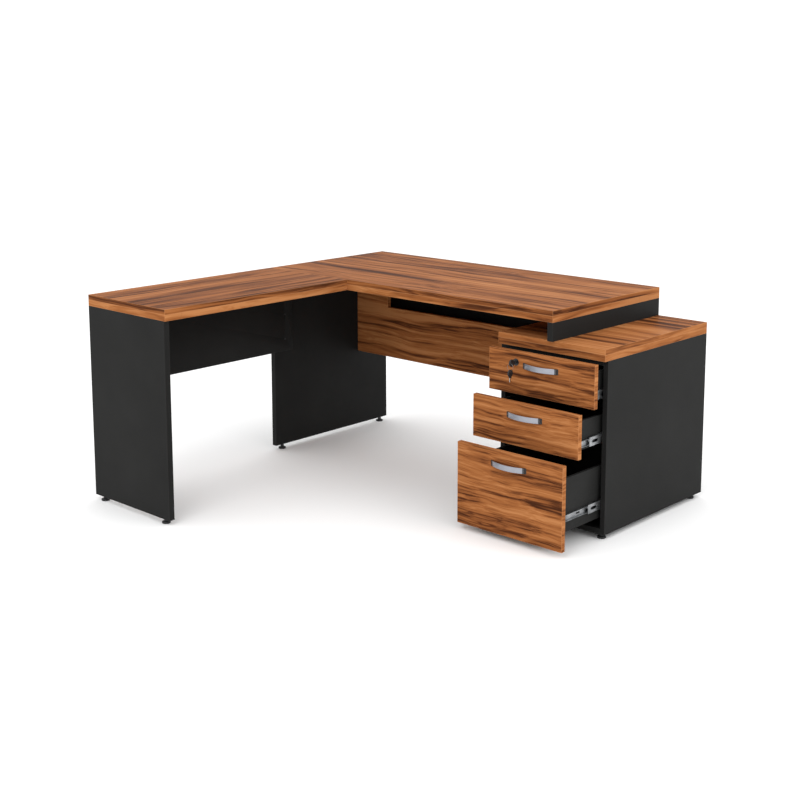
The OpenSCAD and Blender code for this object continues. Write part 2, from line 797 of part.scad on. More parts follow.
module lock_housing() {
    color("#202124") at_lock() difference() {
        union() {
            rotate(BACK) cylinder(r = lock_r, h = lock_back);
            rotate(FRONT) cylinder(r = lock_r + rose_w, h = rose_t);
            translate([-plate / 2, front_t, -plate / 2]) cube([plate, plate_t, plate]);
        }
        translate([0, -5, 0]) rotate(BACK) cylinder(r = core_r + running, h = lock_back + 10);
    }
}

stem_r = 3;
stem_len = 5;
cam_t = 2;
cam_w = 12;
cam_hub = 8;

module lock_core() {
    color("#b9bcc0") at_lock() difference() {
        union() {
            translate([0, -2, 0]) rotate(BACK) cylinder(r = core_r, h = lock_back + 2 + gap);
            translate([0, lock_back, 0]) rotate(BACK) cylinder(r = stem_r, h = stem_len);
        }
        translate([-blade_t / 2, -3, -blade_h / 2]) cube([blade_t, blade_len, blade_h]);
    }
}

// Points to -X when the drawer is unlocked and up when it is locked
module lock_cam() {
    color("#b9bcc0") at_lock() translate([0, lock_back + gap, 0]) difference() {
        union() {
            rotate(BACK) cylinder(r = cam_hub, h = cam_t);
            translate([-cam_len, 0, -cam_w / 2]) cube([cam_len, cam_t, cam_w]);
        }
        translate([0, -1, 0]) rotate(BACK) cylinder(r = stem_r, h = cam_t + 2);
    }
}

neck_w = 11;
neck_len = 3;

// A key in the plane X = 0 with its bow's middle at the origin and its blade along +Y
module key_shape(blade_to) {
    rotate([0, 90, 0]) translate([0, 0, -bow_t / 2]) difference() {
        union() {
            cylinder(r = bow_r, h = bow_t);
            translate([-neck_w / 2, 0, 0]) cube([neck_w, bow_r + neck_len, bow_t]);
        }
        translate([0, hole_y - bow_y, -1]) cylinder(r = hole_r, h = bow_t + 2);
    }
    translate([-blade_t / 2, 0, -blade_h / 2]) cube([blade_t, blade_to, blade_h]);
}

module key() {
    color("#17181a") at_lock() translate([0, bow_y, 0]) key_shape(-bow_y - neck_len + blade_len);
}

// Hangs through the hole in the key's bow
module key_ring() {
    color("#b9bcc0") at_lock() translate([0, hole_y, -ring_drop - ring_r]) rotate(FRONT)
        rotate_extrude($fn = 64) translate([ring_r, 0]) circle(wire_r, $fn = 16);
}

// Hangs from the bottom of the ring, blade down
module spare_key() {
    inner_r = ring_r - wire_r;
    rise = inner_r - sqrt(pow(inner_r, 2) - pow(bow_t / 2, 2));     // of the ring, through the bow's thickness
    hang = -ring_drop - 2 * ring_r - hole_r + wire_r + rise + running;
    color("#17181a") at_lock() translate([0, hole_y, hang + hole_y - bow_y]) rotate([-90, 0, 0])
        key_shape(bow_r + neck_len + blade_len - 6);
}

// ---- Feet and fittings ----

module foot_sockets() {
    color("#202124") for (f = feet) translate([f.x, f.y, foot_h]) difference() {
        cylinder(r = stud_r + socket_wall, h = socket_len);
        translate([0, 0, -1]) cylinder(r = stud_r + running, h = socket_len - 1);
    }
}

module foot(k) {
    color("#202124") translate([feet[k].x, feet[k].y, 0]) {
        cylinder(r = pad_r, h = pad_h);
        cylinder(r = pad_r - pad_lip, h = foot_h - gap);
        cylinder(r = stud_r, h = foot_h + socket_len - 3);
    }
}

module cam_fittings() {
    color("#b9bcc0") cam_sets(all_cams);
}

module dowels() {
    color("#c9a36b") dowel_holes(all_dowels);
}

module panel_screws() {
    color("#b9bcc0") {
        for (s = concat(lap_screws, tray_top_screws, tray_screen_screws, outer_screws(-1), outer_screws(1)))
            flat_screw(s);
        for (s = concat(back_screws_left, back_screws_right)) sunk_screw(s);
    }
}

main_top_board();
main_top_strips();
return_top_board();
return_top_strips();
pedestal_top_board();
pedestal_top_strips();
return_end_leg();
corner_leg();
riser_panel();
return_screen();
main_screen();
cable_tray();
pedestal_side_left();
pedestal_side_right();
pedestal_back();
pedestal_base();
pedestal_front_rail();
slide_outer_members();
foot_sockets();
cam_fittings();
dowels();
panel_screws();
drawer_front(0);  // drawer1_front
drawer_sides(0);  // drawer1_sides
drawer_back(0);  // drawer1_back
drawer_bottom(0);  // drawer1_bottom
drawer_handle(0);  // drawer1_handle
drawer_fixings(0);  // drawer1_fixings
drawer_members(0);  // drawer1_slide_members
middle_members(0);  // slide1_middle_members
drawer_front(1);  // drawer2_front
drawer_sides(1);  // drawer2_sides
drawer_back(1);  // drawer2_back
drawer_bottom(1);  // drawer2_bottom
drawer_handle(1);  // drawer2_handle
drawer_fixings(1);  // drawer2_fixings
drawer_members(1);  // drawer2_slide_members
middle_members(1);  // slide2_middle_members
drawer_front(2);  // drawer3_front
drawer_sides(2);  // drawer3_sides
drawer_back(2);  // drawer3_back
drawer_bottom(2);  // drawer3_bottom
drawer_handle(2);  // drawer3_handle
drawer_fixings(2);  // drawer3_fixings
drawer_members(2);  // drawer3_slide_members
middle_members(2);  // slide3_middle_members
lock_housing();
lock_core();
lock_cam();
key();
key_ring();
spare_key();
foot(0);  // foot_1
foot(1);  // foot_2
foot(2);  // foot_3
foot(3);  // foot_4
foot(4);  // foot_5
foot(5);  // foot_6
foot(6);  // foot_7
foot(7);  // foot_8
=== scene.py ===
import math

import bmesh
import bpy
import numpy as np
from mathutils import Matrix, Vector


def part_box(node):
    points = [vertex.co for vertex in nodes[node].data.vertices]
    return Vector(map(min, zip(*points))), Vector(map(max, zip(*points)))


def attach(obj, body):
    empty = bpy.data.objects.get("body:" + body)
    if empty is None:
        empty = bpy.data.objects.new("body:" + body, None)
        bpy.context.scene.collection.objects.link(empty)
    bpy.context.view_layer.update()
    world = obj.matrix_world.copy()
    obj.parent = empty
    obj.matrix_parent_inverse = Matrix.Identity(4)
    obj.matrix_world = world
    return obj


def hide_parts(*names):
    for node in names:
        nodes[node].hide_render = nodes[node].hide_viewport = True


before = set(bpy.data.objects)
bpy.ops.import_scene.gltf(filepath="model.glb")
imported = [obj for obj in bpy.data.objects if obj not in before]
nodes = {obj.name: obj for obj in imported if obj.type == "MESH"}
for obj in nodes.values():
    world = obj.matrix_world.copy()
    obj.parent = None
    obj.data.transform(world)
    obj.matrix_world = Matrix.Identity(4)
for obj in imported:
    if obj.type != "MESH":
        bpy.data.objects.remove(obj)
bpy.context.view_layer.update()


# ---- Work tops ----
# Two work tops and the pedestal's top: 18 mm board faced with walnut laminate, thickened to 40 mm by
# strips glued under the edges. The grain runs along each top and along every edge band, and the arrises
# are eased half a millimetre.

def value_socket(tree, name, kind, way):
    tree.interface.new_socket(name=name, in_out=way, socket_type="NodeSocket" + kind)


def math_node(tree, operation, a, b=None, clamp=False):
    """One Math node: a and b are sockets or numbers."""
    n = tree.nodes.new("ShaderNodeMath")
    n.operation = operation
    n.use_clamp = clamp
    for slot, item in zip(n.inputs, (a, b)):
        if isinstance(item, bpy.types.NodeSocket):
            tree.links.new(item, slot)
        elif item is not None:
            slot.default_value = item
    return n.outputs[0]


def vector_node(tree, operation, a, b=None):
    """One Vector Math node: a and b are sockets or triples."""
    n = tree.nodes.new("ShaderNodeVectorMath")
    n.operation = operation
    for slot, item in zip(n.inputs, (a, b)):
        if isinstance(item, bpy.types.NodeSocket):
            tree.links.new(item, slot)
        elif item is not None:
            slot.default_value = item
    return n.outputs[0]


def noise_node(tree, place, scale, detail, rough):
    n = tree.nodes.new("ShaderNodeTexNoise")
    tree.links.new(place, n.inputs["Vector"])
    for name, value in (("Scale", scale), ("Detail", detail), ("Roughness", rough)):
        n.inputs[name].default_value = value
    return n


def ramp_node(tree, value, stops):
    """A Color Ramp with (place, colour) stops."""
    n = tree.nodes.new("ShaderNodeValToRGB")
    n.color_ramp.elements[0].position, n.color_ramp.elements[0].color = stops[0][0], (*stops[0][1], 1)
    n.color_ramp.elements[1].position, n.color_ramp.elements[1].color = stops[-1][0], (*stops[-1][1], 1)
    for place, colour in stops[1:-1]:
        n.color_ramp.elements.new(place).color = (*colour, 1)
    tree.links.new(value, n.inputs[0])
    return n.outputs[0]


def spread_node(tree, value, low, high, to_low=0.0, to_high=1.0, smooth=False):
    """Map Range, clamped: value from low..high to to_low..to_high."""
    n = tree.nodes.new("ShaderNodeMapRange")
    n.clamp = True
    n.interpolation_type = "SMOOTHSTEP" if smooth else "LINEAR"
    for name, item in (("Value", value), ("From Min", low), ("From Max", high),
                       ("To Min", to_low), ("To Max", to_high)):
        if isinstance(item, bpy.types.NodeSocket):
            tree.links.new(item, n.inputs[name])
        else:
            n.inputs[name].default_value = item
    return n.outputs["Result"]


def mix_node(tree, kind, factor, a, b):
    """Mix of two colours ('RGBA') or two vectors ('VECTOR')."""
    n = tree.nodes.new("ShaderNodeMix")
    n.data_type = kind
    ends = [s for s in n.inputs if s.enabled and s.name in ("A", "B")]
    for slot, item in zip([n.inputs["Factor"]] + ends, (factor, a, b)):
        if isinstance(item, bpy.types.NodeSocket):
            tree.links.new(item, slot)
        else:
            slot.default_value = item
    return next(s for s in n.outputs if s.enabled)


def walnut_grain():
    """Group: dark wavy veins, streaks, broad bands and fine fibres along the first axis of Place.

    Place is bent by a slow noise. Veins lie where a stretched noise crosses its middle value, and fade in
    and out with the bands; streaks, bands and fibres add to the tone, and the tone picks the colour."""
    g = bpy.data.node_groups.new("walnut_grain", "ShaderNodeTree")
    value_socket(g, "Place", "Vector", "INPUT")
    value_socket(g, "Lift", "Float", "INPUT")
    value_socket(g, "Colour", "Color", "OUTPUT")
    value_socket(g, "Roughness", "Float", "OUTPUT")
    value_socket(g, "Height", "Float", "OUTPUT")
    start, end = g.nodes.new("NodeGroupInput"), g.nodes.new("NodeGroupOutput")
    place = start.outputs["Place"]
    slow = noise_node(g, vector_node(g, "MULTIPLY", place, (2.4, 5.0, 5.0)), 1.0, 2.0, 0.5)
    bend = vector_node(g, "SUBTRACT", slow.outputs["Color"], (0.5, 0.5, 0.5))
    bent = vector_node(g, "ADD", place, vector_node(g, "MULTIPLY", bend, (0.0, 0.055, 0.055)))

    def layer(stretch, detail, rough):
        return noise_node(g, vector_node(g, "MULTIPLY", bent, stretch), 1.0, detail, rough).outputs["Fac"]

    def swing(level, weight):
        return math_node(g, "MULTIPLY", math_node(g, "SUBTRACT", level, 0.5), weight)

    streaks = swing(layer((1.5, 62.0, 62.0), 4.0, 0.62), 1.25)
    broad = layer((0.8, 15.0, 15.0), 2.0, 0.5)
    bands = swing(broad, 0.75)
    fine = layer((6.0, 330.0, 330.0), 3.0, 0.6)
    fibres = swing(fine, 0.40)
    crossing = math_node(g, "SUBTRACT", layer((0.9, 24.0, 24.0), 2.5, 0.5), 0.5)
    vein = spread_node(g, math_node(g, "ABSOLUTE", crossing), 0.0, 0.060, 1.0, 0.0, smooth=True)
    vein = math_node(g, "MULTIPLY", vein, spread_node(g, broad, 0.42, 0.62, 1.0, 0.35))
    tone = math_node(g, "ADD", math_node(g, "ADD", streaks, bands), math_node(g, "ADD", fibres, 0.5))
    tone = math_node(g, "ADD", math_node(g, "SUBTRACT", tone, math_node(g, "MULTIPLY", vein, 0.145)),
                     start.outputs["Lift"])
    colour = ramp_node(g, tone, [
        (0.22, (0.052, 0.017, 0.007)), (0.34, (0.115, 0.037, 0.013)), (0.43, (0.215, 0.073, 0.023)),
        (0.56, (0.300, 0.107, 0.033)), (0.76, (0.430, 0.180, 0.066))])
    g.links.new(colour, end.inputs["Colour"])
    g.links.new(spread_node(g, fine, 0.3, 0.7, 0.56, 0.46), end.inputs["Roughness"])
    pores = noise_node(g, vector_node(g, "MULTIPLY", place, (60.0, 2600.0, 2600.0)), 1.0, 1.0, 0.5)
    height = math_node(g, "ADD", math_node(g, "MULTIPLY", fine, 0.6),
                       math_node(g, "MULTIPLY", pores.outputs["Fac"], 0.4))
    g.links.new(height, end.inputs["Height"])
    return g


def eased_arris():
    """Group: 1 along the arrises of the box Low..High, 0 elsewhere.

    The distance to the nearer face is taken on each axis; where two of them are within Width of zero the
    point is on an arris."""
    g = bpy.data.node_groups.new("eased_arris", "ShaderNodeTree")
    for name in ("Place", "Low", "High"):
        value_socket(g, name, "Vector", "INPUT")
    value_socket(g, "Width", "Float", "INPUT")
    value_socket(g, "Mask", "Float", "OUTPUT")
    start, end = g.nodes.new("NodeGroupInput"), g.nodes.new("NodeGroupOutput")
    place = start.outputs["Place"]
    near = vector_node(g, "MINIMUM", vector_node(g, "SUBTRACT", place, start.outputs["Low"]),
                       vector_node(g, "SUBTRACT", start.outputs["High"], place))
    axes = g.nodes.new("ShaderNodeSeparateXYZ")
    g.links.new(near, axes.inputs[0])
    x, y, z = (spread_node(g, axes.outputs[k], 0.0, start.outputs["Width"], 1.0, 0.0) for k in range(3))
    pairs = math_node(g, "ADD", math_node(g, "MULTIPLY", x, y), math_node(g, "MULTIPLY", y, z))
    mask = math_node(g, "ADD", pairs, math_node(g, "MULTIPLY", z, x), clamp=True)
    g.links.new(mask, end.inputs["Mask"])
    return g


GRAIN, ARRIS = walnut_grain(), eased_arris()


def place_group(tree, group, **values):
    n = tree.nodes.new("ShaderNodeGroup")
    n.node_tree = group
    for name, item in values.items():
        if isinstance(item, bpy.types.NodeSocket):
            tree.links.new(item, n.inputs[name])
        else:
            n.inputs[name].default_value = item
    return n


def new_finish(name, **constants):
    """A material with its Principled shader, whose plain values are set on the shader's own sockets."""
    m = bpy.data.materials.new(name)
    m.use_nodes = True
    shader = m.node_tree.nodes["Principled BSDF"]
    for key, value in constants.items():
        shader.inputs[key.replace("_", " ")].default_value = value
    return m, m.node_tree, shader


def bump(tree, shader, height, distance, strength):
    n = tree.nodes.new("ShaderNodeBump")
    n.inputs["Strength"].default_value = strength
    n.inputs["Distance"].default_value = distance
    tree.links.new(height, n.inputs["Height"])
    tree.links.new(n.outputs[0], shader.inputs["Normal"])


FACING = 0.6                    # a face looks along an axis when its normal's share there is above this
# the paler arris colour and its share are a painted highlight along the arrises, with a little wear
WALNUT_RIM, WALNUT_WEAR_AND_HIGHLIGHT = 0.0016, 0.55
WALNUT_ARRIS_WEAR_AND_HIGHLIGHT = (0.52, 0.24, 0.10, 1)


def walnut(name, low, high, grain, shift, figure, lift, edge_lift, edges):
    """Walnut laminate on one board of the box low..high: face grain along one axis, its place times figure
    plus shift, edge bands along each edge, lighter by edge_lift, and arrises paler: a painted highlight
    with a little wear."""
    m, tree, shader = new_finish(name, IOR=1.5, Specular_IOR_Level=0.018)
    where = tree.nodes.new("ShaderNodeTexCoord")
    xyz = tree.nodes.new("ShaderNodeSeparateXYZ")
    tree.links.new(where.outputs["Object"], xyz.inputs[0])
    ways = {}
    for key, order in (("x", "XYZ"), ("y", "YXZ")):
        join = tree.nodes.new("ShaderNodeCombineXYZ")
        for k, axis in enumerate(order):
            tree.links.new(xyz.outputs[axis], join.inputs[k])
        ways[key] = vector_node(tree, "ADD", vector_node(tree, "MULTIPLY", join.outputs[0], figure), shift)
    facing = tree.nodes.new("ShaderNodeSeparateXYZ")
    tree.links.new(vector_node(tree, "ABSOLUTE", where.outputs["Normal"]), facing.inputs[0])
    other = "y" if grain == "x" else "x"
    turn = math_node(tree, "GREATER_THAN", facing.outputs[grain.upper()], FACING)
    place = mix_node(tree, "VECTOR", turn, ways[grain], ways[other])
    band = None
    for axis in edges:
        one = math_node(tree, "GREATER_THAN", facing.outputs[axis.upper()], FACING)
        band = one if band is None else math_node(tree, "MAXIMUM", band, one)
    lifts = math_node(tree, "ADD", math_node(tree, "MULTIPLY", band, edge_lift), lift)
    wood = place_group(tree, GRAIN, Place=place, Lift=lifts)
    rim = place_group(tree, ARRIS, Place=where.outputs["Object"], Low=low, High=high, Width=WALNUT_RIM)
    # painted highlight along the arrises, with a little wear: the arris mask mixes in the paler colour
    arris_wear_and_highlight = math_node(tree, "MULTIPLY", rim.outputs["Mask"], WALNUT_WEAR_AND_HIGHLIGHT)
    colour = mix_node(tree, "RGBA", arris_wear_and_highlight, wood.outputs["Colour"], WALNUT_ARRIS_WEAR_AND_HIGHLIGHT)
    tree.links.new(colour, shader.inputs["Base Color"])
    tree.links.new(wood.outputs["Roughness"], shader.inputs["Roughness"])
    bump(tree, shader, wood.outputs["Height"], 0.00006, 0.6)
    return m


BOARD_EASE, METAL_EASE = 0.0005, 0.0002
WELD_GAP, FLAT_ANGLE, ARRIS_ANGLE = 0.00001, math.radians(1), math.radians(50)


def finish_node(name, material, ease=BOARD_EASE):
    """Gives a CAD node its finish. The triangles of each flat face are merged first, so that a two-step
    bevel can ease the arrises without slivers; an ease of nought leaves the mesh as it is."""
    piece = nodes[name]
    piece.data.materials.clear()
    piece.data.materials.append(material)
    if ease:
        weld = piece.modifiers.new("weld", "WELD")
        weld.merge_threshold = WELD_GAP
        merge = piece.modifiers.new("merge", "DECIMATE")
        merge.decimate_type = "DISSOLVE"
        merge.angle_limit = FLAT_ANGLE
        round_over = piece.modifiers.new("ease", "BEVEL")
        round_over.width = ease
        round_over.segments = 2
        round_over.limit_method = "ANGLE"
        round_over.angle_limit = ARRIS_ANGLE
        round_over.use_clamp_overlap = False
        round_over.loop_slide = False
        round_over.harden_normals = True


TOP_FIGURE, BAND_FIGURE = (0.55, 0.62, 0.62), (0.8, 0.5, 0.5)
for part, way, shift in (("main_top", "x", (0, 0, 0)), ("return_top", "y", (3.1, 0.4, 0)),
                         ("pedestal_top", "x", (1.7, 0.23, 0.3))):
    low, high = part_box(part + "_board")
    finish_node(part + "_board", walnut(part + "_laminate", low, high, way, shift, TOP_FIGURE,
                                        lift=0.0, edge_lift=-0.03, edges="xy"))
    low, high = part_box(part + "_strips")
    finish_node(part + "_strips", walnut(part + "_strip_band", low, high, way, (7.3, 2.2, 0.6), BAND_FIGURE,
                                         lift=0.0, edge_lift=0.11, edges="xy"))


# ---- Legs, riser and return screen ----
# Panels of 22 and 18 mm board faced with charcoal laminate that has a fine pressed texture, their edges
# banded in the same colour. They are pulled up to the tops by cam fittings.

def pressed_texture():
    """Group: the laminate's pressed print. Two fine noises give pits, a slow one gives faint cloudiness."""
    g = bpy.data.node_groups.new("pressed_texture", "ShaderNodeTree")
    value_socket(g, "Place", "Vector", "INPUT")
    value_socket(g, "Cloud", "Float", "OUTPUT")
    value_socket(g, "Height", "Float", "OUTPUT")
    start, end = g.nodes.new("NodeGroupInput"), g.nodes.new("NodeGroupOutput")
    cloud = noise_node(g, start.outputs["Place"], 4.0, 3.0, 0.55)
    pits = noise_node(g, start.outputs["Place"], 900.0, 2.0, 0.6)
    ripples = noise_node(g, start.outputs["Place"], 240.0, 2.0, 0.5)
    g.links.new(cloud.outputs["Fac"], end.inputs["Cloud"])
    height = math_node(g, "ADD", math_node(g, "MULTIPLY", pits.outputs["Fac"], 0.5),
                       math_node(g, "MULTIPLY", ripples.outputs["Fac"], 0.5))
    g.links.new(height, end.inputs["Height"])
    return g


PRESSED = pressed_texture()
# the arris share is a painted highlight along the arrises, with a little wear
BOARD_RIM, BOARD_WEAR_AND_HIGHLIGHT = 0.0014, 0.6
BOARD_ROUGH = (0.42, 0.56)


def board_laminate(name, low, high, dark, pale, arris_wear_and_highlight_colour):
    """Plain-coloured laminate on one board: pressed print, faint cloudiness and paler arrises, a painted
    highlight with a little wear.
    """
    m, tree, shader = new_finish(name, IOR=1.48, Specular_IOR_Level=0.055)
    where = tree.nodes.new("ShaderNodeTexCoord").outputs["Object"]
    press = place_group(tree, PRESSED, Place=where)
    rim = place_group(tree, ARRIS, Place=where, Low=low, High=high, Width=BOARD_RIM)
    cloud = spread_node(tree, press.outputs["Cloud"], 0.3, 0.7)
    body = mix_node(tree, "RGBA", cloud, (*dark, 1), (*pale, 1))
    # painted highlight along the arrises, with a little wear
    arris_wear_and_highlight = math_node(tree, "MULTIPLY", rim.outputs["Mask"], BOARD_WEAR_AND_HIGHLIGHT)
    tree.links.new(mix_node(tree, "RGBA", arris_wear_and_highlight, body, (*arris_wear_and_highlight_colour, 1)), shader.inputs["Base Color"])
    rough = spread_node(tree, press.outputs["Height"], 0.35, 0.65, *BOARD_ROUGH)
    tree.links.new(rough, shader.inputs["Roughness"])
    bump(tree, shader, press.outputs["Height"], 0.00012, 0.7)
    return m


# each board colour is dark cloud, pale cloud and arris, the arris colour a painted highlight with a little
# wear
CHARCOAL = ((0.0125, 0.0125, 0.0122), (0.0165, 0.0165, 0.0160), (0.036, 0.036, 0.035))
for part in ("return_end_leg", "corner_leg", "riser_panel", "return_screen"):
    finish_node(part, board_laminate(part + "_laminate", *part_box(part), *CHARCOAL))


# ---- Main screen ----
# The long modesty panel under the main top: 18 mm board in the same walnut as the tops, grain lying
# level, with a notch in its upper edge for cables. Its laminate is lifted paler than the tops': painted
# light that makes up for the shade beneath the top.

low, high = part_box("main_screen")
# lift 0.10 paints the screen paler than the tops, painted light against the shade under the top
finish_node("main_screen", walnut("screen_laminate", low, high, "x", (4.3, 0.9, 0.17), (1.1, 1.35, 1.35),
                                  lift=0.10, edge_lift=0.03, edges="xz"))


# ---- Cable tray ----
# Folded 1.5 mm steel sheet behind the notch, powder coated black with a fine orange-peel surface, held by
# eight screws.

def cloudy_colour(tree, shader, factor, colour, darker, paler):
    """Base colour that follows the factor from the colour times darker to the colour times paler."""
    ends = [(*[min(c * share, 1) for c in colour], 1) for share in (darker, paler)]
    tree.links.new(mix_node(tree, "RGBA", factor, *ends), shader.inputs["Base Color"])


def uneven_gloss(tree, shader, factor, rough, spread):
    """Roughness that follows the factor's middle part, by spread to either side of rough."""
    gloss = spread_node(tree, factor, 0.3, 0.7, rough - spread, rough + spread)
    tree.links.new(gloss, shader.inputs["Roughness"])


def coated_sheet(name, colour, rough):
    """Powder coat: a tight rolling noise in the height, slightly uneven gloss."""
    m, tree, shader = new_finish(name, IOR=1.5, Specular_IOR_Level=0.22)
    where = tree.nodes.new("ShaderNodeTexCoord").outputs["Object"]
    peel = noise_node(tree, where, 700.0, 1.0, 0.4)
    cloud = noise_node(tree, where, 9.0, 2.0, 0.5)
    cloudy_colour(tree, shader, cloud.outputs["Fac"], colour, 0.8, 1.25)
    uneven_gloss(tree, shader, peel.outputs["Fac"], rough, 0.06)
    bump(tree, shader, peel.outputs["Fac"], 0.0001, 0.5)
    return m


finish_node("cable_tray", coated_sheet("tray_coating", (0.014, 0.014, 0.015), 0.45), METAL_EASE)


# ---- Pedestal case ----
# Sides, base, back and front rail of 18 and 15 mm board in the charcoal laminate, doweled and pulled
# together with cam fittings.

for part in ("pedestal_side_left", "pedestal_side_right", "pedestal_back", "pedestal_base",
             "pedestal_front_rail"):
    finish_node(part, board_laminate(part + "_laminate", *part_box(part), *CHARCOAL))


# ---- Drawer fronts ----
# Three walnut-faced fronts, one above the other. The grain runs level across each of them, finer than on
# the tops, and the bands on their edges are paler.

for k in (1, 2, 3):
    low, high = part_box(f"drawer{k}_front")
    shift = (0.9 * k, 0.31 * k, 0.07 * k)
    finish_node(f"drawer{k}_front", walnut(f"front{k}_laminate", low, high, "x", shift, (1.5, 1.5, 1.5),
                                           lift=0.02, edge_lift=0.08, edges="xz"))


# ---- Drawer boxes ----
# Sides and backs of 12 mm board in dark grey laminate, screwed at the back and held to the front by cam
# fittings; a 4 mm bottom slides into grooves.

# dark cloud, pale cloud and arris; the arris colour is a painted highlight with a little wear
GREY = ((0.0155, 0.0155, 0.0150), (0.0205, 0.0205, 0.0198), (0.045, 0.045, 0.044))
for k in (1, 2, 3):
    for part in ("sides", "back", "bottom"):
        name = f"drawer{k}_{part}"
        finish_node(name, board_laminate(name + "_laminate", *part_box(name), *GREY))


# ---- Drawer slides ----
# Three rolled members a side: zinc-plated sheet, brushed along its length by the rolls, dull with a few
# darker patches where the plating is thin.

def rolled_zinc(name):
    """Zinc plate: fine lines along Y, a crystal pattern from cells, and patches of duller grey."""
    m, tree, shader = new_finish(name, Metallic=1.0)
    where = tree.nodes.new("ShaderNodeTexCoord").outputs["Object"]
    lines = noise_node(tree, vector_node(tree, "MULTIPLY", where, (900.0, 12.0, 900.0)), 1.0, 2.0, 0.5)
    patches = noise_node(tree, where, 30.0, 3.0, 0.6)
    cells = tree.nodes.new("ShaderNodeTexVoronoi")
    cells.inputs["Scale"].default_value = 260.0
    tree.links.new(where, cells.inputs["Vector"])
    tone = math_node(tree, "ADD", math_node(tree, "MULTIPLY", patches.outputs["Fac"], 0.7),
                     math_node(tree, "MULTIPLY", cells.outputs["Distance"], 0.3))
    greys = [(0.25, (0.14, 0.145, 0.15)), (0.5, (0.30, 0.31, 0.32)), (0.75, (0.48, 0.49, 0.50))]
    tree.links.new(ramp_node(tree, tone, greys), shader.inputs["Base Color"])
    uneven_gloss(tree, shader, lines.outputs["Fac"], 0.36, 0.08)
    bump(tree, shader, lines.outputs["Fac"], 0.00005, 0.5)
    return m


ZINC = rolled_zinc("slide_zinc")
finish_node("slide_outer_members", ZINC, METAL_EASE)
for k in (1, 2, 3):
    finish_node(f"slide{k}_middle_members", ZINC, METAL_EASE)
    finish_node(f"drawer{k}_slide_members", ZINC, METAL_EASE)


# ---- Handles ----
# A flat strip of satin aluminium bowed into an arc, its ends held in dark cast end pieces that two screws
# pull onto the front from inside.

def grid_mesh(name, points, wrap_u=False, wrap_v=False, smooth=True):
    """A mesh from an array of points [u, v, xyz], with faces between neighbours, closed where wrapped."""
    n_u, n_v = points.shape[:2]
    number = np.arange(n_u * n_v).reshape(n_u, n_v)
    right = np.roll(number, -1, 0)
    up = np.roll(number, -1, 1)
    both = np.roll(right, -1, 1)
    quads = np.stack([number, right, both, up], -1)
    quads = quads[:n_u if wrap_u else n_u - 1, :n_v if wrap_v else n_v - 1].reshape(-1, 4)
    mesh = bpy.data.meshes.new(name)
    mesh.from_pydata(points.reshape(-1, 3).tolist(), [], quads.tolist())
    mesh.validate()
    mesh.polygons.foreach_set("use_smooth", [smooth] * len(mesh.polygons))
    return mesh


def new_piece(name, mesh, material, body, merge=1e-7):
    """Puts a mesh in the scene as one piece: doubles merged, faces turned outwards, riding on its body."""
    b = bmesh.new()
    b.from_mesh(mesh)
    bmesh.ops.remove_doubles(b, verts=b.verts, dist=merge)
    bmesh.ops.recalc_face_normals(b, faces=b.faces)
    b.to_mesh(mesh)
    b.free()
    piece = bpy.data.objects.new(name, mesh)
    bpy.context.scene.collection.objects.link(piece)
    mesh.materials.append(material)
    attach(piece, body)
    return piece


def rounded_loop(width, height, radius, steps=4):
    """A rectangle width by height with its corners rounded: each corner is a quarter circle of radius
    about a point set in by that radius. Returns [k, 2] counter-clockwise."""
    quarter = np.linspace(0, np.pi / 2, steps)
    sx, sy = np.array([1, -1, -1, 1]), np.array([1, 1, -1, -1])
    angle = quarter[None, :] + (np.arange(4) * np.pi / 2)[:, None]
    x = sx[:, None] * (width / 2 - radius) + radius * np.cos(angle)
    y = sy[:, None] * (height / 2 - radius) + radius * np.sin(angle)
    return np.stack([x.ravel(), y.ravel()], -1)


def closed_sweep(name, centres, side, up, loop, scale):
    """Carries a closed loop along a path: at each centre the loop's two coordinates are measured along the
    side and up directions, times scale. A scale of nearly nought at both ends closes them."""
    flat = (centres[:, None, :]
            + side[:, None, :] * (loop[None, :, :1] * scale[:, None, :1])
            + up[:, None, :] * (loop[None, :, 1:] * scale[:, None, 1:]))
    return grid_mesh(name, flat, wrap_v=True)


def satin_strip(name, colour, rough):
    """Satin metal: hair lines along X in gloss and height, and a slow change of tone."""
    m, tree, shader = new_finish(name, Metallic=1.0)
    where = tree.nodes.new("ShaderNodeTexCoord").outputs["Object"]
    hair = noise_node(tree, vector_node(tree, "MULTIPLY", where, (20.0, 20.0, 2400.0)), 1.0, 2.0, 0.6)
    slow = noise_node(tree, where, 40.0, 2.0, 0.5)
    cloudy_colour(tree, shader, slow.outputs["Fac"], colour, 0.9, 1.1)
    uneven_gloss(tree, shader, hair.outputs["Fac"], rough, 0.08)
    bump(tree, shader, hair.outputs["Fac"], 0.00004, 0.6)
    return m


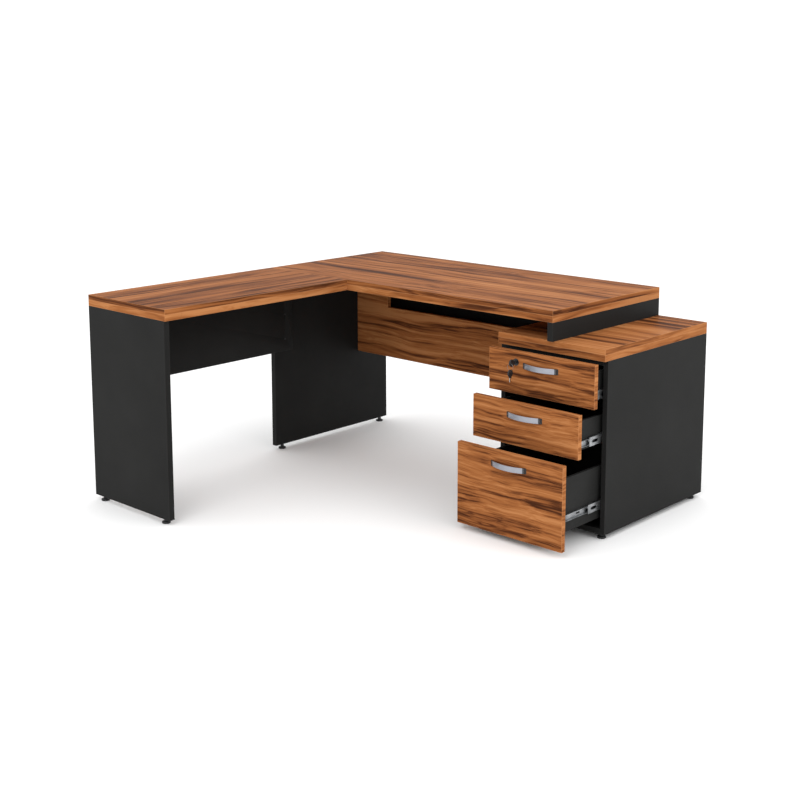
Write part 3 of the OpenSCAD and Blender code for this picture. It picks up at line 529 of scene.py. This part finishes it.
CLOSED = 1e-4                   # scale that shrinks a loop to a point
STRIP_T, STRIP_ROUND, STRIP_LESS = 0.003, 0.0009, 0.0006
END_LEN, STRIP_LAP = 0.007, 0.001
END_ARC_IN, END_FACE_IN, END_OFF_FACE = 0.005, 0.0045, 0.0002
HANDLE_METAL = satin_strip("handle_satin", (0.33, 0.34, 0.38), 0.38)
HANDLE_ENDS = coated_sheet("handle_end_coating", (0.020, 0.018, 0.017), 0.4)
for k in (1, 2, 3):
    low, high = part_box(f"drawer{k}_handle")
    length, reach, tall = high.x - low.x, high.y - low.y, high.z - low.z
    mid_x, mid_z, face_y = (low.x + high.x) / 2, (low.z + high.z) / 2, high.y
    bow = ((length / 2) ** 2 + reach ** 2) / (2 * reach)      # radius of the outer face
    centre_y = face_y - reach + bow
    # strip: a rounded rectangle carried along the arc, its last two steps drawn in to close the ends
    half = math.asin((length / 2 - END_LEN + STRIP_LAP) / bow)
    turn = np.concatenate([[-half, -half], np.linspace(-half, half, 49), [half, half]])
    mid_bow = bow - STRIP_T / 2
    path = np.stack([mid_x + mid_bow * np.sin(turn), centre_y - mid_bow * np.cos(turn),
                     np.full(turn.shape, mid_z)], -1)
    out = np.stack([np.sin(turn), -np.cos(turn), 0 * turn], -1)
    up = np.tile([0.0, 0.0, 1.0], (len(turn), 1))
    size = np.ones((len(turn), 2))
    size[[0, -1]] = CLOSED
    loop = rounded_loop(STRIP_T, tall - STRIP_LESS, STRIP_ROUND)
    strip = new_piece(f"handle{k}_strip", closed_sweep(f"handle{k}_strip", path, out, up, loop, size),
                      HANDLE_METAL, f"drawer{k}", 1e-6)
    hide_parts(f"drawer{k}_handle")
    # end pieces: the outline between the front's face and the arc, carried up the handle's height
    for s, hand in ((-1, "left"), (1, "right")):
        t = np.linspace(math.asin((length / 2 - END_LEN - END_ARC_IN) / bow),
                        math.asin(length / 2 / bow), 9)
        arc = np.stack([bow * np.sin(t), centre_y - bow * np.cos(t) - face_y], -1)
        inner = np.array([[length / 2, -END_OFF_FACE],
                          [length / 2 - END_LEN - END_FACE_IN, -END_OFF_FACE]])
        ring = np.concatenate([arc, inner])
        middle = ring.mean(0)
        heights = np.array([-0.5, -0.5, -0.46, 0.46, 0.5, 0.5]) * tall
        shrink = np.array([0.0, 0.94, 1.0, 1.0, 0.94, 0.0])
        flat = middle + (ring - middle)[None] * shrink[:, None, None]
        points = np.stack([mid_x + s * flat[..., 0], face_y + flat[..., 1],
                           mid_z + np.repeat(heights[:, None], len(ring), 1)], -1)
        new_piece(f"handle{k}_{hand}_end",
                  grid_mesh(f"handle{k}_{hand}_end", points, wrap_v=True, smooth=False),
                  HANDLE_ENDS, f"drawer{k}", 1e-6)


# ---- Lock and keys ----
# A cylinder lock with a black rim in the top front. Each key has a black moulded bow with a hole and a
# steel blade; the spare hangs from a split ring of spring wire through both bows.

def moulded_plastic(name, colour, rough):
    """Moulded black plastic: a fine spark texture in the height and slightly uneven gloss."""
    m, tree, shader = new_finish(name, IOR=1.5, Specular_IOR_Level=0.4)
    where = tree.nodes.new("ShaderNodeTexCoord").outputs["Object"]
    spark = noise_node(tree, where, 1600.0, 2.0, 0.6)
    slow = noise_node(tree, where, 60.0, 2.0, 0.5)
    cloudy_colour(tree, shader, slow.outputs["Fac"], colour, 0.75, 1.3)
    uneven_gloss(tree, shader, spark.outputs["Fac"], rough, 0.07)
    bump(tree, shader, spark.outputs["Fac"], 0.00006, 0.6)
    return m


BLACK_PLASTIC = moulded_plastic("black_moulding", (0.012, 0.012, 0.013), 0.42)
PLATED = satin_strip("plated_steel", (0.55, 0.55, 0.54), 0.3)
finish_node("lock_housing", moulded_plastic("lock_rim_black", (0.010, 0.010, 0.011), 0.3), 0.0003)
BLACKENED = satin_strip("blackened_steel", (0.045, 0.045, 0.048), 0.4)
RING_STEEL = satin_strip("ring_steel", (0.24, 0.24, 0.25), 0.35)
finish_node("lock_core", BLACKENED, METAL_EASE)
finish_node("lock_cam", PLATED, METAL_EASE)


def key_bow(name, centre, hole, radius, hole_radius, thick):
    """A round bow with an off-centre hole: the surface between the rim circle and the hole circle, closed
    round both edges by a rounded profile, with a shallow dish in each face. It stands square to X."""
    a = np.linspace(0, 2 * np.pi, 64, endpoint=False)
    rim = np.stack([centre[1] + radius * np.cos(a), centre[2] + radius * np.sin(a)], -1)
    eye = np.stack([hole[1] + hole_radius * np.cos(a), hole[2] + hole_radius * np.sin(a)], -1)
    s = np.linspace(0, 2 * np.pi, 28, endpoint=False)
    across = 0.5 - 0.5 * np.sign(np.cos(s)) * np.abs(np.cos(s)) ** 0.55
    off = np.sign(np.sin(s)) * np.abs(np.sin(s)) ** 0.45 * thick / 2
    off = off * (1 - 0.22 * np.exp(-((across - 0.45) / 0.25) ** 2))
    yz = rim[:, None] * (1 - across)[None, :, None] + eye[:, None] * across[None, :, None]
    x = np.repeat((centre[0] + off)[None], len(a), 0)
    return grid_mesh(name, np.concatenate([x[..., None], yz], -1), True, True)


def key_neck(name, start, finish, wide, thick):
    """The short block between bow and blade: a rounded rectangle carried straight, its ends closed."""
    start, finish = np.array(start), np.array(finish)
    way = (finish - start) / np.linalg.norm(finish - start)
    t = np.array([0.0, 0.0, 0.15, 0.85, 1.0, 1.0])
    path = start + (finish - start) * t[:, None]
    size = np.array([CLOSED, 0.9, 1.0, 1.0, 0.9, CLOSED])[:, None] * [1, 1]
    across = np.cross(way, [1.0, 0, 0])
    return closed_sweep(name, path, np.tile([1.0, 0, 0], (6, 1)), np.tile(across, (6, 1)),
                        rounded_loop(thick, wide, 0.001), size)


def key_blade(name, start, finish, wide, thick):
    """A flat blade whose one edge is cut into five bites: the width at each step is the full width less a
    triangle wave, and the last steps come to a blunt point."""
    start, finish = np.array(start), np.array(finish)
    length = np.linalg.norm(finish - start)
    way = (finish - start) / length
    across = np.cross(way, [1.0, 0, 0])
    t = np.concatenate([[0.0], np.linspace(0, 1, 61), [1.0]])
    bite = 0.26 * np.abs(((t * 5.5) % 1.0) * 2 - 1) * (t > 0.3)
    point = np.clip((t - 0.88) / 0.12, 0, 1) * 0.55
    width = 1 - np.maximum(bite, point)
    shift = (1 - width) * wide / 2
    path = start + way * (t * length)[:, None] + across * (shift * (point <= bite))[:, None]
    size = np.stack([np.ones_like(t), width], -1)
    size[[0, -1]] = CLOSED
    return closed_sweep(name, path, np.tile([1.0, 0, 0], (len(t), 1)), np.tile(across, (len(t), 1)),
                        rounded_loop(thick, wide, 0.0005, 3), size)


BOW_R, EYE_R, BOW_T, EYE_OFF, NECK_R = 0.0125, 0.003, 0.006, 0.00725, 0.0155
KEY_LAP, NECK_WIDE, NECK_T, BLADE_WIDE, BLADE_T = 0.002, 0.011, BOW_T - 0.0008, 0.0076, 0.002


def key_pieces(name, centre, tip, body):
    """A key's bow, neck and blade on the line from the bow's middle to the blade's tip, each lapped into
    the one before; the eye lies off the bow's middle, away from the tip. Gives back the bow."""
    centre, tip = np.array(centre), np.array(tip)
    way = (tip - centre) / np.linalg.norm(tip - centre)
    disc = key_bow(name + "_bow", centre, centre - way * EYE_OFF, BOW_R, EYE_R, BOW_T)
    bow = new_piece(name + "_bow", disc, BLACK_PLASTIC, body)
    neck = key_neck(name + "_neck", centre + way * (BOW_R - KEY_LAP), centre + way * NECK_R,
                    NECK_WIDE, NECK_T)
    new_piece(name + "_neck", neck, BLACK_PLASTIC, body)
    blade = key_blade(name + "_blade", centre + way * (NECK_R - KEY_LAP), tip, BLADE_WIDE, BLADE_T)
    new_piece(name + "_blade", blade, PLATED, body)
    return bow


low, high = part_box("key")
x0, y0, z0 = (low.x + high.x) / 2, low.y + BOW_R, (low.z + high.z) / 2
bow = key_pieces("key", (x0, y0, z0), (x0, high.y, z0), "lock_core")
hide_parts("key")
low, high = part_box("spare_key")
x0, y0, z0 = (low.x + high.x) / 2, (low.y + high.y) / 2, high.z - BOW_R
bow = key_pieces("spare_key", (x0, y0, z0), (x0, y0, low.z), "keys")
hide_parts("spare_key")

# split ring: a wire wound twice round a circle in the plane of the front, the turns lying side by side
low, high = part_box("key_ring")
wire = (high.y - low.y) / 4
ring_r = (high.x - low.x) / 2 - 2 * wire
RING_STEPS, WIRE_STEPS, WIRE_START = 129, 10, 0.6
turn = np.linspace(0, 4 * np.pi, RING_STEPS) + WIRE_START
along = np.linspace(-1, 1, RING_STEPS) * wire
mid = (low + high) / 2
round_wire = np.linspace(0, 2 * np.pi, WIRE_STEPS, endpoint=False)
radius = ring_r + wire * np.cos(round_wire)[None, :] * np.ones((RING_STEPS, 1))
radius[[0, -1]] = ring_r
lift = along[:, None] + wire * np.sin(round_wire)[None, :] * np.ones((RING_STEPS, 1))
lift[[0, -1]] = along[[0, -1], None]
coil = np.stack([mid.x + radius * np.cos(turn)[:, None], mid.y + lift,
                 mid.z + radius * np.sin(turn)[:, None]], -1)
ring = new_piece("split_ring", grid_mesh("split_ring", coil, wrap_v=True), RING_STEEL, "keys")
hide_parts("key_ring")


# ---- Levelling feet ----
# A black moulded pad with a ribbed rim under a hexagonal neck, on a plated stud that screws into a socket
# in the panel's lower edge.

TURN_STEPS, PAD_RIBS, RIB_DEPTH = 96, 36, 0.0005


def turned(name, radii, heights, axis, rib_rows=()):
    """A profile turned round an upright axis: the radius at each height, cut by a cosine wave of ribs on
    the rows named, with both poles closed by a radius of nought."""
    a = np.linspace(0, 2 * np.pi, TURN_STEPS, endpoint=False)
    r = np.array(radii)[None, :] * np.ones((TURN_STEPS, 1))
    wave = 0.5 + 0.5 * np.cos(a * PAD_RIBS)
    r[:, list(rib_rows)] -= (RIB_DEPTH * wave)[:, None]
    h = np.array(heights)[None, :] * np.ones((TURN_STEPS, 1))
    x, y = axis[0] + r * np.cos(a)[:, None], axis[1] + r * np.sin(a)[:, None]
    return grid_mesh(name, np.stack([x, y, h], -1), wrap_u=True)


FOOT_PLASTIC = moulded_plastic("foot_moulding", (0.011, 0.011, 0.012), 0.5)
# the pad's profile from its underside up over the rim to the top of the neck, and the stud's thread
PAD_R = [0, 0.0138, 0.0146, 0.0150, 0.0150, 0.0146, 0.0128, 0.0092, 0.0074, 0.0070, 0.0070, 0.0066, 0]
PAD_Z = [0, 0, 0.0004, 0.0012, 0.0052, 0.0062, 0.0070, 0.0074, 0.0084, 0.0098, 0.0170, 0.0175, 0.0175]
RIM_ROWS = (3, 4)
STUD_Z, STUD_R, STUD_TIP_R, THREAD_DEPTH, THREAD_ROWS = 0.0160, 0.0039, 0.003, 0.0004, 40
for k in range(1, 9):
    low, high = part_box(f"foot_{k}")
    mid = (low + high) / 2
    pad = new_piece(f"foot{k}_pad", turned(f"foot{k}_pad", PAD_R, PAD_Z, (mid.x, mid.y), RIM_ROWS),
                    FOOT_PLASTIC, f"foot{k}")
    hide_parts(f"foot_{k}")
    levels = np.linspace(STUD_Z, high.z - 0.0008, THREAD_ROWS)
    radii = STUD_R - THREAD_DEPTH * (np.arange(THREAD_ROWS) % 2)
    stud = turned(f"foot{k}_stud", [0, *radii, STUD_TIP_R, 0], [STUD_Z, *levels, high.z, high.z],
                  (mid.x, mid.y))
    new_piece(f"foot{k}_stud", stud, PLATED, f"foot{k}")
finish_node("foot_sockets", BLACK_PLASTIC, 0)


# ---- Fittings ----
# Cam housings and bolts of plated die casting, blackened steel screws, and beech dowels glued into both
# panels. Most of them lie inside the boards.

def beech(name):
    """Beech dowel: pale wood with short flecks drawn out along the upright axis."""
    m, tree, shader = new_finish(name, IOR=1.45, Specular_IOR_Level=0.3)
    where = tree.nodes.new("ShaderNodeTexCoord").outputs["Object"]
    fleck = noise_node(tree, vector_node(tree, "MULTIPLY", where, (700.0, 700.0, 90.0)), 1.0, 3.0, 0.6)
    woods = [(0.35, (0.42, 0.24, 0.11)), (0.5, (0.60, 0.39, 0.20)), (0.7, (0.70, 0.49, 0.28))]
    tree.links.new(ramp_node(tree, fleck.outputs["Fac"], woods), shader.inputs["Base Color"])
    gloss = spread_node(tree, fleck.outputs["Fac"], 0.3, 0.7, 0.7, 0.55)
    tree.links.new(gloss, shader.inputs["Roughness"])
    bump(tree, shader, fleck.outputs["Fac"], 0.0001, 0.5)
    return m


finish_node("dowels", beech("dowel_beech"), 0)
finish_node("cam_fittings", PLATED, 0)
finish_node("panel_screws", BLACKENED, 0)
for k in (1, 2, 3):
    finish_node(f"drawer{k}_fixings", PLATED, 0)


# ---- Studio ----
# A pale floor and an even white surround, one broad lamp in front and a weaker one at the side, and the
# camera at standing height, to the right in front of the desk.

def sheet(name, size, height, colour):
    """A flat square: a grid of corners at plus and minus half its size."""
    steps = np.linspace(-size / 2, size / 2, 5)
    x, y = np.meshgrid(steps, steps, indexing="ij")
    piece = bpy.data.objects.new(name, grid_mesh(name, np.stack([x, y, np.full_like(x, height)], -1)))
    bpy.context.scene.collection.objects.link(piece)
    m, tree, shader = new_finish(name + "_paint", Specular_IOR_Level=0.1)
    slow = noise_node(tree, tree.nodes.new("ShaderNodeTexCoord").outputs["Object"], 0.7, 2.0, 0.5)
    cloudy_colour(tree, shader, slow.outputs["Fac"], colour, 0.995, 1.0)
    shader.inputs["Roughness"].default_value = 0.9
    piece.data.materials.append(m)


sheet("floor", 60.0, 0.0, (0.95, 0.95, 0.95))


def lamp(name, place, aim, size, power):
    """A round white lamp of that width and power at a place, turned to look at its aim."""
    data = bpy.data.lights.new(name, "AREA")
    data.shape, data.size, data.energy = "DISK", size, power
    lit = bpy.data.objects.new(name, data)
    bpy.context.scene.collection.objects.link(lit)
    way = np.array(aim) - np.array(place)
    flat = math.hypot(way[0], way[1])
    lit.location = place
    lit.rotation_euler = (math.atan2(flat, -way[2]), 0, math.atan2(-way[0], way[1]))


lamp("front_lamp", (1.0, -3.6, 3.6), (0, 0.1, 0.4), size=2.6, power=50)
lamp("side_lamp", (4.2, 0.4, 3.0), (0.3, 0, 0.4), size=2.4, power=44)
surround = bpy.data.worlds.new("surround")
surround.use_nodes = True
surround.node_tree.nodes["Background"].inputs["Color"].default_value = (1, 1, 1, 1)
surround.node_tree.nodes["Background"].inputs["Strength"].default_value = 1.24
bpy.context.scene.world = surround
bpy.context.scene.view_settings.view_transform = "Standard"

lens = bpy.data.cameras.new("camera")
lens.sensor_width, lens.lens, lens.shift_x, lens.shift_y = 36.0, 59.65, -0.0136, -0.15
lens.clip_end = 200
camera = bpy.data.objects.new("camera", lens)
camera.location = (3.155, -3.3758, 1.5486)
camera.rotation_euler = (math.radians(90 - 9.205), 0, math.radians(42.540))
bpy.context.scene.collection.objects.link(camera)
bpy.context.scene.camera = camera
